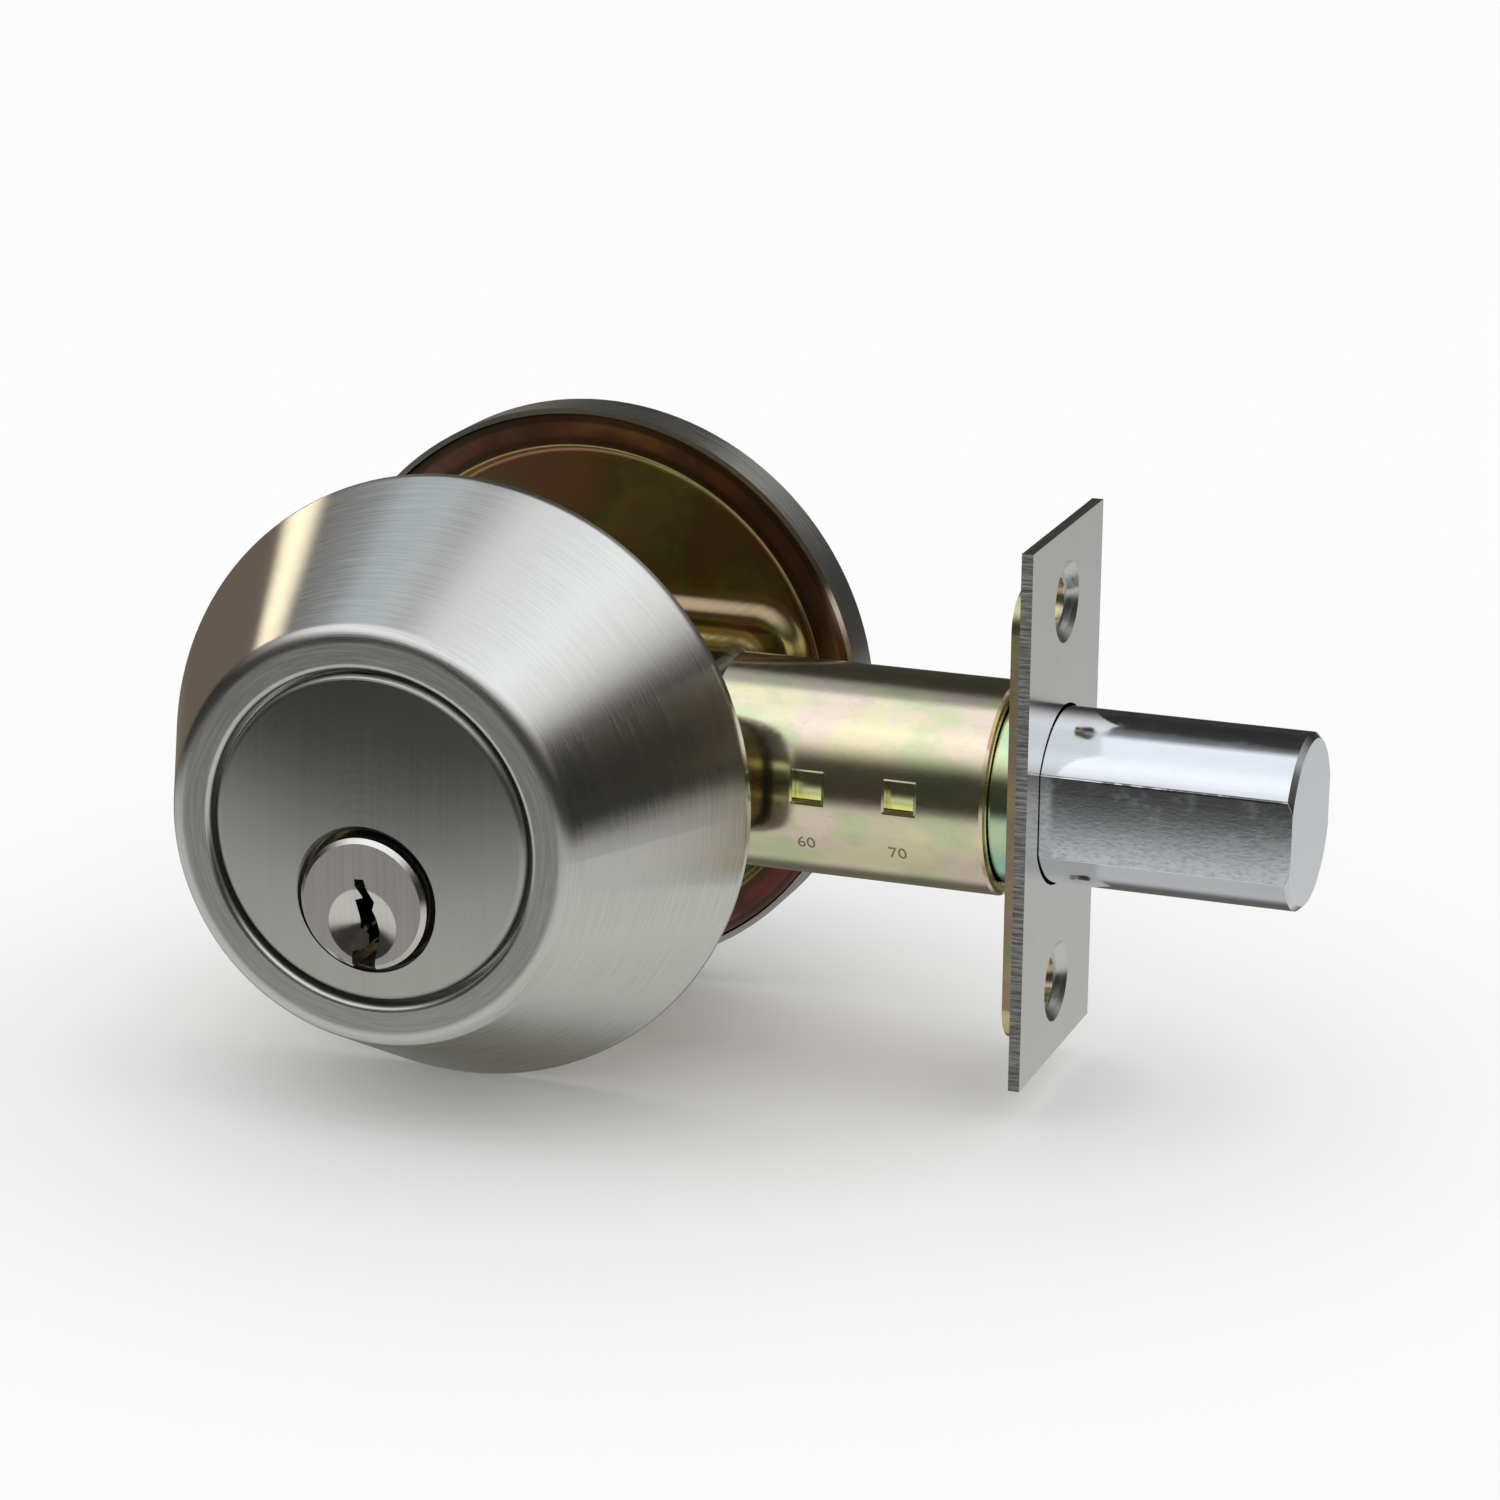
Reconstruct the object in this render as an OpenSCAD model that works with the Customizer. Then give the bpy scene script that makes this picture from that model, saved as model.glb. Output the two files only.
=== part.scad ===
// Deadbolt door lock: key cylinder outside (-Y), thumb turn inside (+Y),
// bolt towards +X. Origin: cross bore axis on the bolt axis, middle of the door.

/* [Door] */
// Door thickness between the two trim parts
door_t = 35; // [34:0.5:38]
// Backset, cross bore axis to the faceplate's outer face
backset = 60.3; // [60:0.1:61]

/* [Bolt] */
// Diameter of the bolt
bolt_d = 18.5; // [18:0.1:18.6]
// Width of the bolt across its two flats
bolt_flats = 16.4; // [15.4:0.1:16.8]
// How far the bolt stands out of the faceplate when thrown
bolt_out = 26.4; // [26:0.1:28]

/* [Edge plates] */
// Height of the faceplate
face_h = 57.15; // [54:0.5:60]
// Width of the faceplate
face_w = 25.4; // [24:0.2:26]
// Distance between the two screw holes
hole_spacing = 41.3; // [40.5:0.1:42]

/* [Trim] */
// Radius of the collar at the door
collar_r = 32.5; // [32:0.1:33.5]
// Radius of the collar at its front edge
bezel_r = 21.9; // [21.5:0.1:22.2]
// Radius of the inside rose
rose_r = 32.1; // [32:0.1:33.5]
// Depth of the rose rim
rose_depth = 6; // [5.6:0.1:6.5]

/* [Cylinder] */
// Radius of the plug's face
plug_face_r = 6.9; // [6.8:0.05:6.95]
// Radius of the plug's body
plug_r = 6.3; // [6.2:0.05:6.3]
// Running fit of the turning parts, radial
fit = 0.05; // [0.03:0.01:0.08]

/* [Hidden] */
$fn = 96;

satin = [0.72, 0.71, 0.69];
zinc = [0.66, 0.60, 0.38];
steel = [0.62, 0.63, 0.65];
brass = [0.78, 0.64, 0.34];

out_y = -door_t / 2;
in_y = door_t / 2;
key_z = -6.35;
post_x = 18;

// The cylinder parts are placed from the collar's back, the rose from its front
cap_y = out_y - 24.3;
cap_dome = 1.3;
cap_edge_r = 16.65;
cap_back_y = out_y - 20.8;
boss_y = out_y - 22.1;
lip_front_y = out_y - 20.5;
lip_back_y = out_y - 18.8;
shoulder_y = out_y - 18.5;
plug_face_y = out_y - 24.8;
shell_front_y = out_y - 18.3;
plate_out_y = out_y - 2;

bolt_rear = 52.2;
bolt_tip = backset + bolt_out;
face_x = backset - 1.2;
back_x = face_x - 1;
tube_rear = 24.5;
tube_front = back_x - 2.8;
tube_r = 11.3;
sleeve_r = 10.25;
sleeve_bore = bolt_d / 2 + 0.08;

arm_l = 17.96;
pin_r = 1.6;
fork_x = 12.7;
tail_z = 4;

pin_count = 5;
pin_pitch = 3;
pin_first_y = shoulder_y + 2.1;
chamber_r = 1.35;
chamber_pin_r = 1.3;

// Stack of the thumb turn, from the rose's face towards the door
turn_base_y = in_y + rose_depth + 3.7;
bushing_back_y = in_y + rose_depth + 0.6;
washer_y = bushing_back_y - 0.8;
clip_y = washer_y - 0.75;

// Solid of revolution about a line along Y, points are [radius, y]
module lathe(points) {
    rotate([90, 0, 0])
        rotate_extrude()
            polygon([for (p = points) [p[0], -p[1]]]);
}

// Round rod along Y from y0 to y1
module rod_y(r, y0, y1) {
    translate([0, y1, 0])
        rotate([90, 0, 0])
            cylinder(r = r, h = y1 - y0);
}

// Round rod along X from x0 to x1
module rod_x(r, x0, x1) {
    translate([x0, 0, 0])
        rotate([0, 90, 0])
            cylinder(r = r, h = x1 - x0);
}

// Box given by its low and high corners
module box(low, high) {
    translate(low)
        cube([high[0] - low[0], high[1] - low[1], high[2] - low[2]]);
}

// Moves a part onto the key's axis
module on_key() {
    translate([0, 0, key_z])
        children();
}

// Places a part at each pin chamber
module at_pins() {
    for (i = [0 : pin_count - 1])
        translate([0, pin_first_y + i * pin_pitch, 0])
            children();
}

// Places a part at both mounting screws
module at_posts() {
    for (side = [-1, 1])
        translate([side * post_x, 0, key_z])
            children();
}

// Pie slice in the XZ plane, from angle a0 to a1, drawn between y0 and y1
module sector_y(r, a0, a1, y0, y1) {
    steps = 8;
    translate([0, y1, 0])
        rotate([90, 0, 0])
            linear_extrude(y1 - y0)
                polygon(concat([[0, 0]], [for (i = [0 : steps])
                    let (a = a0 + (a1 - a0) * i / steps)
                        [r * cos(a), r * sin(a)]]));
}

// Points of an arc round [r, y] from angle a0 to a1
function arc(r, y, size, a0, a1, steps = 8) =
    [for (i = [0 : steps])
        let (a = a0 + (a1 - a0) * i / steps)
            [r + size * cos(a), y + size * sin(a)]];

// Conical guard ring: thin shell with a rolled front edge and an inner lip
module outer_collar() {
    wall = 1.7;
    front_y = out_y - 23.2;
    color(satin)
        lathe(concat(
            [[collar_r - 0.3, out_y]],
            arc(collar_r - 0.4, out_y - 0.4, 0.4, 90, 0, 4),
            arc(collar_r - 1.4, out_y - 0.9, 1.4, 0, -26, 5),
            arc(bezel_r - 1.5, out_y - 21.2, 2, -26, -90, 10),
            arc(18.25, front_y + 0.6, 0.6, 270, 180, 8),
            [[17.65, lip_front_y], [14.6, lip_front_y],
                [14.6, lip_back_y], [19, lip_back_y],
                [bezel_r - 1.4, out_y - 19.6],
                [collar_r - wall - 0.7, out_y - 1.6],
                [collar_r - wall - 0.4, out_y]]));
}

// Round cover, gently domed, with a rolled edge and the hole of the plug
module face_cap() {
    steps = 16;
    wall = 1.2;
    dome = [for (i = [0 : steps])
        let (r = (cap_edge_r - 0.3) * i / steps)
            [r, cap_y + cap_dome * pow(r / cap_edge_r, 2)]];
    inside = [for (i = [steps : -1 : 0])
        let (r = (cap_edge_r - 0.7) * i / steps)
            [r, cap_y + wall + cap_dome * pow(r / cap_edge_r, 2)]];
    color(satin)
        difference() {
            lathe(concat(dome,
                arc(cap_edge_r - 0.4, cap_y + cap_dome + 0.85, 0.9, -70, 0, 6),
                [[cap_edge_r + 0.5, cap_back_y], [cap_edge_r - 0.7, cap_back_y]],
                inside));
            on_key()
                rod_y(7.6, cap_y - 1, cap_y + 4);
            on_key()
                translate([0, cap_y - 0.2, 0])
                    rotate([-90, 0, 0])
                        cylinder(r1 = 8.3, r2 = 7.5, h = 0.8);
        }
}

// Space of the cylinder shell, also cut from the housing
module shell_form(grow) {
    on_key()
        rod_y(8.9 + grow, shell_front_y - grow, plate_out_y - 0.05);
    box([-4.2 - grow, shell_front_y + 0.4 - grow, key_z],
        [4.2 + grow, plate_out_y - 0.05, 10.6 + grow]);
}

// Die-cast body behind the collar
module cylinder_housing() {
    color(satin)
        difference() {
            lathe([
                [0, boss_y], [14.3, boss_y],
                [14.3, shoulder_y], [17, shoulder_y],
                [17, out_y - 5], [21, out_y - 4],
                [21, plate_out_y - 0.02], [0, plate_out_y - 0.02]]);
            shell_form(0.05);
            translate([0, 1, 0])
                shell_form(0.05);
            on_key()
                rod_y(7.5, cap_y - 1, shell_front_y + 1);
            for (side = [-1, 1])
                translate([side * 13, 0, 7])
                    rod_y(1.3, out_y - 12, out_y);
        }
}

// Brass shell with the plug bore and the pin chambers
module cylinder_shell() {
    color(brass)
        difference() {
            shell_form(0);
            on_key()
                rod_y(plug_r + fit, shell_front_y - 1, out_y);
            at_pins()
                translate([0, 0, key_z + 1])
                    cylinder(r = chamber_r, h = 20);
            box([-2.2, shell_front_y + 0.45, 9.7],
                [2.2, plate_out_y - 1, 12]);
        }
}

// Stepped keyway, open at the bottom of the plug
module keyway(y0, y1) {
    translate([0, y1, 0])
        rotate([90, 0, 0])
            linear_extrude(y1 - y0)
                polygon([
                    [-0.82, 2.65], [0.19, 2.7], [0.44, 1.9], [0.7, 1.3],
                    [1.17, 0.3], [0.75, -0.7], [1.15, -1.7], [1.6, -3],
                    [1.5, -4.4], [1.15, -8], [-1.2, -8], [-1.2, -5.1],
                    [0.1, -4.7], [0.45, -4.2], [0.3, -3.3], [-0.66, -2.8],
                    [-0.68, -2.2], [-0.84, -0.6], [-0.94, 0.3],
                    [-0.05, 0.65], [-0.35, 1.3], [-0.76, 1.95]]);
}

// Plug with its face, keyway, five chambers and the cam tooth at the back
module plug() {
    tooth_y = out_y + 1.1;
    color(steel)
        on_key()
            difference() {
                union() {
                    rotate([90, 0, 0])
                        rotate_extrude()
                            polygon([
                                [0, -out_y + 1], [0, -plug_face_y],
                                [plug_face_r - 0.5, -plug_face_y],
                                [plug_face_r, -plug_face_y - 0.4],
                                [plug_face_r, -shell_front_y + 0.3],
                                [plug_r, -shell_front_y + 0.3],
                                [plug_r, -out_y + 1]]);
                    difference() {
                        sector_y(5.2, 25, 155, out_y - 1.2, tooth_y);
                        rod_y(2.6, out_y - 1, tooth_y + 1);
                    }
                }
                keyway(plug_face_y - 1, out_y - 3);
                at_pins()
                    cylinder(r = chamber_r, h = 8);
                translate([0, plug_face_y - 0.01, -2.1])
                    rotate([-90, 0, 0])
                        cylinder(r1 = 3.75, r2 = 0.3, h = 1.25);
            }
}

// Five key pins lined up with the shear line
module key_pins() {
    color(brass)
        at_pins()
            translate([0, 0, key_z + 0.6]) {
                cylinder(r1 = 0.6, r2 = chamber_pin_r, h = 0.9);
                translate([0, 0, 0.9])
                    cylinder(r = chamber_pin_r, h = 4.55);
            }
}

// Five driver pins above the shear line
module driver_pins() {
    color(steel)
        at_pins()
            translate([0, 0, key_z + plug_r + 0.35])
                cylinder(r = chamber_pin_r, h = 4.2);
}

// Springs above the driver pins, coils on a thin tube
module pin_springs() {
    low = key_z + plug_r + 4.6;
    color(steel)
        at_pins()
            difference() {
                union() {
                    translate([0, 0, low])
                        cylinder(r = 1, h = 5);
                    for (i = [0 : 4])
                        translate([0, 0, low + 0.2 + i * 1.05])
                            cylinder(r = 1.2, h = 0.5);
                }
                translate([0, 0, low - 1])
                    cylinder(r = 0.7, h = 8);
            }
}

// Strip over the spring chambers
module chamber_cover() {
    color(brass)
        box([-2.15, shell_front_y + 0.5, 9.75],
            [2.15, plate_out_y - 1.05, 10.5]);
}

// Ring behind the plug that holds the tailpiece
module plug_cap() {
    color(steel)
        on_key()
            difference() {
                rod_y(6.2, out_y - 0.95, out_y + 3.2);
                rod_y(5.3, out_y - 1.5, out_y + 2.65);
                rod_y(3.6, out_y, out_y + 4);
            }
}

// Steel plate behind the housing with two threaded posts
module cylinder_back_plate() {
    color(zinc)
        difference() {
            union() {
                rod_y(29, plate_out_y, plate_out_y + 1.6);
                at_posts()
                    rod_y(4, plate_out_y + 1, out_y + 9);
            }
            on_key()
                rod_y(6.9, plate_out_y - 1, out_y);
            at_posts()
                rod_y(2.45, plate_out_y - 1, out_y + 10);
            for (side = [-1, 1])
                translate([side * 13, 0, 7])
                    rod_y(1.6, plate_out_y - 1, out_y);
        }
}

// Two short screws that hold the plate on the housing
module back_plate_screws() {
    color(steel)
        for (side = [-1, 1])
            translate([side * 13, 0, 7])
                difference() {
                    union() {
                        rod_y(1.25, out_y - 9, out_y);
                        rod_y(2.7, out_y - 0.38, out_y + 1.2);
                    }
                    box([-0.4, out_y + 0.7, -2], [0.4, out_y + 2, 2]);
                    box([-2, out_y + 0.7, -0.4], [2, out_y + 2, 0.4]);
                }
}

// Flat bar with a round head and the tab the cam tooth meets
module tailpiece() {
    head_y = out_y + 1.4;
    color(steel)
        on_key() {
            rod_y(4.9, head_y, head_y + 0.9);
            box([-0.8, head_y + 0.5, -2.6], [0.8, in_y + 13, 2.6]);
            difference() {
                sector_y(4.6, 250, 290, out_y - 0.7, head_y + 0.4);
                rod_y(2.9, out_y - 1, head_y);
            }
        }
}

// Plate the edge of the door shows, with two countersunk holes
module faceplate() {
    color(satin)
        difference() {
            box([face_x, -face_w / 2, -face_h / 2],
                [backset, face_w / 2, face_h / 2]);
            bolt_section(0.3, face_x - 1, backset + 1);
            for (side = [-1, 1])
                translate([0, 0, side * hole_spacing / 2]) {
                    rod_x(2.4, face_x - 1, backset + 1);
                    translate([backset - 1, 0, 0])
                        rotate([0, 90, 0])
                            cylinder(r1 = 3.2, r2 = 4.3, h = 1.01);
                }
        }
}

// Bolt outline extended along X, grown by a clearance
module bolt_section(grow, x0, x1) {
    half = bolt_flats / 2 + grow;
    translate([x0, 0, 0])
        rotate([0, 90, 0])
            linear_extrude(x1 - x0)
                intersection() {
                    circle(r = bolt_d / 2 + grow);
                    square([bolt_d + 2, 2 * half], center = true);
                }
}

// Plate behind the faceplate with rounded corners
module backplate() {
    half_y = 12.3;
    half_z = 24;
    corner = 4;
    color(zinc)
        difference() {
            union() {
                box([back_x, -half_y + corner, -half_z],
                    [face_x - 0.02, half_y - corner, half_z]);
                box([back_x, -half_y, -half_z + corner],
                    [face_x - 0.02, half_y, half_z - corner]);
                for (sy = [-1, 1], sz = [-1, 1])
                    translate([0, sy * (half_y - corner),
                        sz * (half_z - corner)])
                        rod_x(corner, back_x, face_x - 0.02);
            }
            rod_x(sleeve_bore + 0.4, back_x - 1, face_x + 1);
            for (side = [-1, 1])
                translate([0, 0, side * hole_spacing / 2])
                    rod_x(2.4, back_x - 1, face_x + 1);
        }
}

// Outer tube with two square windows
module bolt_tube() {
    color(zinc)
        difference() {
            rotate([0, 90, 0])
                rotate_extrude()
                    polygon([
                        [tube_r - 1, tube_rear], [tube_r, tube_rear],
                        [tube_r, tube_front - 0.5],
                        [tube_r - 0.15, tube_front - 0.15],
                        [tube_r - 0.5, tube_front],
                        [tube_r - 1, tube_front]]);
            for (x = [34.6, 44.6])
                box([x, -tube_r - 1, -0.5], [x + 3.2, 0, 2.7]);
        }
}

// Sleeve the bolt slides in; its neck shows in front of the tube
module inner_sleeve() {
    color(zinc)
        difference() {
            union() {
                rod_x(sleeve_r, 31, tube_front - 1.5);
                rod_x(sleeve_r - 0.35, tube_front - 2, back_x - 0.02);
            }
            rod_x(sleeve_bore, 30, back_x + 1);
        }
}

// End wall of the tube with the opening for the tail
module tube_end() {
    color(zinc)
        difference() {
            rod_x(tube_r - 1.05, tube_rear, tube_rear + 1.2);
            box([tube_rear - 1, -4, 0.9], [tube_rear + 3, 4, 7.1]);
        }
}

// Round bolt with two flats, roller bore and slot for the tail
module bolt() {
    color(steel)
        difference() {
            intersection() {
                bolt_section(0, bolt_rear, bolt_tip);
                rotate([0, 90, 0])
                    rotate_extrude()
                        polygon([
                            [0, bolt_rear], [bolt_d / 2 + 0.1, bolt_rear],
                            [bolt_d / 2 + 0.1, bolt_tip - 0.7],
                            [bolt_d / 2 - 0.7, bolt_tip + 0.1],
                            [0, bolt_tip + 0.1]]);
            }
            rod_x(2.45, bolt_rear - 1, bolt_tip - 3);
            box([bolt_rear - 1, -3.65, tail_z - 2.55],
                [bolt_rear + 8.5, 3.65, tail_z + 2.55]);
            translate([bolt_rear + 4, 0, tail_z])
                rod_y(1.55, -10, 10);
        }
}

// Hardened pin that turns under a saw
module bolt_roller() {
    color(steel)
        rod_x(2.4, bolt_rear + 8.8, bolt_tip - 3.3);
}

// One leaf of the forked tail
module tail_leaf(y0, y1) {
    difference() {
        union() {
            box([fork_x - 5.4, y0, tail_z - 2.5],
                [bolt_rear + 7.9, y1, tail_z + 2.5]);
            box([fork_x - 5.4, y0, tail_z - 2.5],
                [fork_x + 5.4, y1, 12]);
        }
        box([fork_x - 2.4, y0 - 1, 4.2], [fork_x + 2.4, y1 + 1, 13]);
        translate([bolt_rear + 4, 0, tail_z])
            rod_y(1.55, -10, 10);
    }
}

// Forked tail made of two leaves
module bolt_tail() {
    color(zinc) {
        tail_leaf(-3.6, -1.8);
        tail_leaf(1.8, 3.6);
        box([30, -1.9, tail_z - 2.5], [34, 1.9, tail_z + 2.5]);
    }
}

// Cross pin that joins tail and bolt
module tail_rivet() {
    color(steel)
        translate([bolt_rear + 4, 0, tail_z])
            rod_y(1.5, -7.4, 7.4);
}

// Hub with two journals and the arm that throws the bolt
module hub() {
    color(steel)
        on_key()
            difference() {
                union() {
                    rod_y(4.4, -6.3, 6.3);
                    rotate([0, -45, 0])
                        box([0, -1.5, -2.6], [arm_l, 1.5, 2.6]);
                    rotate([0, -45, 0])
                        translate([arm_l, 0, 0])
                            rod_y(2.9, -1.5, 1.5);
                }
                box([-0.85, -8, -2.65], [0.85, 8, 2.65]);
                rotate([0, -45, 0])
                    translate([arm_l, 0, 0])
                        rod_y(pin_r, -3, 3);
            }
}

// Cross pin of the arm, rides in both slots of the tail
module hub_pin() {
    color(steel)
        on_key()
            rotate([0, -45, 0])
                translate([arm_l, 0, 0])
                    rod_y(pin_r, -3.6, 3.6);
}

// Side plate of the case between two Y planes
module case_plate(y0, y1) {
    difference() {
        box([-7, y0, -11], [tube_rear - 0.05, y1, 10]);
        on_key()
            rod_y(4.4 + fit, -10, 10);
        translate([post_x, 0, key_z])
            rod_y(3.4, -10, 10);
        case_rivet_places()
            rod_y(1.25, -10, 10);
    }
}

// Places a part at both case rivets
module case_rivet_places() {
    for (p = [[8.8, -9], [21.6, 8.5]])
        translate([p[0], 0, p[1]])
            children();
}

// Case plate on the key side
module case_outer() {
    color(zinc)
        case_plate(-5.8, -4.6);
}

// Case plate on the thumb turn side
module case_inner() {
    color(zinc)
        case_plate(4.6, 5.8);
}

// Two rivets that join the case plates
module case_rivets() {
    color(steel)
        case_rivet_places() {
            rod_y(1.2, -5.8, 5.8);
            rod_y(2, -6.4, -5.82);
            rod_y(2, 5.82, 6.4);
        }
}

// Stamped plate inside the rose: sloping rim, fold line, field and raised pad
module mounting_plate() {
    pad_x = 25.2;
    pad_z = 11.4;
    plate_r = rose_r - 0.8;
    field_y = in_y + 2.2;
    color(zinc)
        difference() {
            union() {
                lathe(concat(
                    [[0, field_y], [26.9, field_y],
                        [27.2, in_y + 0.6]],
                    arc(27.65, in_y + 0.5, 0.42, 200, 340, 8),
                    [[28.2, in_y + 1], [28.9, in_y + 1.3],
                        [plate_r, in_y + 0.5], [plate_r, in_y + 3.3],
                        [0, in_y + 3.3]]));
                box([-pad_x + 4, in_y + 1.2, -pad_z],
                    [pad_x - 4, in_y + 2.8, pad_z]);
                box([-pad_x, in_y + 1.2, -pad_z + 4],
                    [pad_x, in_y + 2.8, pad_z - 4]);
                for (sx = [-1, 1], sz = [-1, 1])
                    translate([sx * (pad_x - 4), 0, sz * (pad_z - 4)])
                        rod_y(4, in_y + 1.2, in_y + 2.8);
            }
            on_key()
                rod_y(6, in_y - 1, in_y + 4);
            at_posts()
                rod_y(2.8, in_y - 1, in_y + 4);
        }
}

// Shallow round cover on the inside of the door
module inner_rose() {
    rim_y = in_y + rose_depth;
    color(satin)
        difference() {
            lathe([
                [rose_r, in_y], [rose_r, rim_y - 0.8],
                [rose_r - 0.8, rim_y], [25, rim_y + 2],
                [24, rim_y + 2.2], [0, rim_y + 2.2],
                [0, rim_y + 0.6], [24, rim_y + 0.6],
                [rose_r - 1.2, rim_y - 1.6], [rose_r - 0.6, rim_y - 2.4],
                [rose_r - 0.6, in_y]]);
            on_key()
                rod_y(9.1, rim_y - 1, rim_y + 4);
            at_posts()
                rod_y(2.8, rim_y - 1, rim_y + 4);
        }
}

// Bushing the thumb turn's stem runs in
module turn_bushing() {
    face_y = in_y + rose_depth + 2.22;
    color(satin)
        on_key()
            difference() {
                union() {
                    rod_y(9.05, bushing_back_y, turn_base_y - 0.3);
                    rod_y(10.4, face_y, turn_base_y - 0.3);
                }
                rod_y(6 + fit, bushing_back_y - 1, turn_base_y + 1);
            }
}

// Lever the hand turns, with a grooved stem that takes the tailpiece
module thumb_turn() {
    color(satin)
        on_key()
            difference() {
                union() {
                    rod_y(6, clip_y - 1.5, turn_base_y + 0.1);
                    rod_y(9.6, turn_base_y, turn_base_y + 4);
                    hull() {
                        for (side = [-1, 1])
                            translate([side * 14.5, 0, 0]) {
                                rod_y(3, turn_base_y + 5, turn_base_y + 13);
                                rod_y(2.2, turn_base_y + 4, turn_base_y + 14);
                            }
                        rod_y(4.4, turn_base_y + 2, turn_base_y + 13);
                    }
                }
                box([-0.85, clip_y - 2, -2.65],
                    [0.85, turn_base_y + 4.5, 2.65]);
                difference() {
                    rod_y(7, clip_y - 0.05, clip_y + 0.75);
                    rod_y(5.2, clip_y - 1, clip_y + 2);
                }
            }
}

// Open ring in the stem's groove
module turn_clip() {
    color(steel)
        on_key()
            difference() {
                rod_y(7.6, clip_y, clip_y + 0.7);
                rod_y(5.2, clip_y - 1, clip_y + 2);
                box([-1.6, clip_y - 1, -9], [1.6, clip_y + 2, 0]);
            }
}

// Thin washer between clip and bushing
module turn_washer() {
    color(steel)
        on_key()
            difference() {
                rod_y(7.8, washer_y, washer_y + 0.5);
                rod_y(6.02, washer_y - 1, washer_y + 2);
            }
}

// Two long screws from the inside into the posts
module mounting_screws() {
    head_y = in_y + rose_depth + 2.22;
    color(steel)
        at_posts()
            difference() {
                union() {
                    rod_y(2.4, out_y + 1, head_y + 0.5);
                    lathe([[0, head_y], [4.4, head_y],
                        [4.2, head_y + 0.9], [3.2, head_y + 1.7],
                        [1.8, head_y + 2.1], [0, head_y + 2.2]]);
                }
                box([-0.45, head_y + 0.9, -2.4], [0.45, head_y + 3, 2.4]);
                box([-2.4, head_y + 0.9, -0.45], [2.4, head_y + 3, 0.45]);
            }
}

outer_collar();
face_cap();
cylinder_housing();
cylinder_shell();
plug();
key_pins();
driver_pins();
pin_springs();
chamber_cover();
plug_cap();
cylinder_back_plate();
back_plate_screws();
tailpiece();
faceplate();
backplate();
bolt_tube();
inner_sleeve();
tube_end();
bolt();
bolt_roller();
bolt_tail();
tail_rivet();
hub();
hub_pin();
case_outer();
case_inner();
case_rivets();
mounting_plate();
inner_rose();
thumb_turn();
turn_bushing();
turn_clip();
turn_washer();
mounting_screws();
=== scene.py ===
import math
import bpy
from mathutils import Matrix, Vector


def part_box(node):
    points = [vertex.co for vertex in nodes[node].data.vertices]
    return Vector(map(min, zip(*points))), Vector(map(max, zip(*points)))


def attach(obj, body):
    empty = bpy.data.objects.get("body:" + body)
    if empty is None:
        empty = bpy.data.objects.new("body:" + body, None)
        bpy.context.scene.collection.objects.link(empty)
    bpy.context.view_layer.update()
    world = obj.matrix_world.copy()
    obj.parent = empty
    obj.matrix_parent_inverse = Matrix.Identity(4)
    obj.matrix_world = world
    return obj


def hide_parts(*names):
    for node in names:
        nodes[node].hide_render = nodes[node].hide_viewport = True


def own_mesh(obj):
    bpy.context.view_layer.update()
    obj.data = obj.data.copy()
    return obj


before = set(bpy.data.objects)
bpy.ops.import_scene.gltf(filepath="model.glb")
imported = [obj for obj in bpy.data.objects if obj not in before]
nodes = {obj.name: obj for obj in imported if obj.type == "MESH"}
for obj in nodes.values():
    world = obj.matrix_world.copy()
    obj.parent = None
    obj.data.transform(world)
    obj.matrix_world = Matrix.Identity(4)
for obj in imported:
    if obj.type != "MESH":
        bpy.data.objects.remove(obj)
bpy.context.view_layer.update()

# Camera: a long lens from the key side, a little to the bolt's side and above,
# aimed at the middle of the lock.
AZIMUTH, ELEVATION, ROLL = math.radians(20.0), math.radians(16.84), math.radians(0.49)
AIM = Vector((0.030, -0.010, 0.0))
DISTANCE, SHIFT_RIGHT, SHIFT_UP = 0.47323, -0.00045, 0.00398
FRAME_PX, FOCAL_PX = 1500, 4549.26
back = Vector((math.sin(AZIMUTH) * math.cos(ELEVATION),
               -math.cos(AZIMUTH) * math.cos(ELEVATION), math.sin(ELEVATION)))
right = Vector((math.cos(AZIMUTH), math.sin(AZIMUTH), 0.0))
up = back.cross(right)
right, up = (right * math.cos(ROLL) + up * math.sin(ROLL),
             up * math.cos(ROLL) - right * math.sin(ROLL))
camera_data = bpy.data.cameras.new("camera")
camera_data.sensor_width = 36.0
camera_data.lens = FOCAL_PX / FRAME_PX * camera_data.sensor_width
camera_data.clip_start = 0.01
camera = bpy.data.objects.new("camera", camera_data)
bpy.context.collection.objects.link(camera)
place = AIM + right * SHIFT_RIGHT + up * SHIFT_UP + back * DISTANCE
facing = Matrix((right, up, back)).transposed().to_4x4()
camera.matrix_world = Matrix.Translation(place) @ facing
bpy.context.scene.camera = camera
bpy.context.scene.view_settings.view_transform = "Standard"


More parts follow.
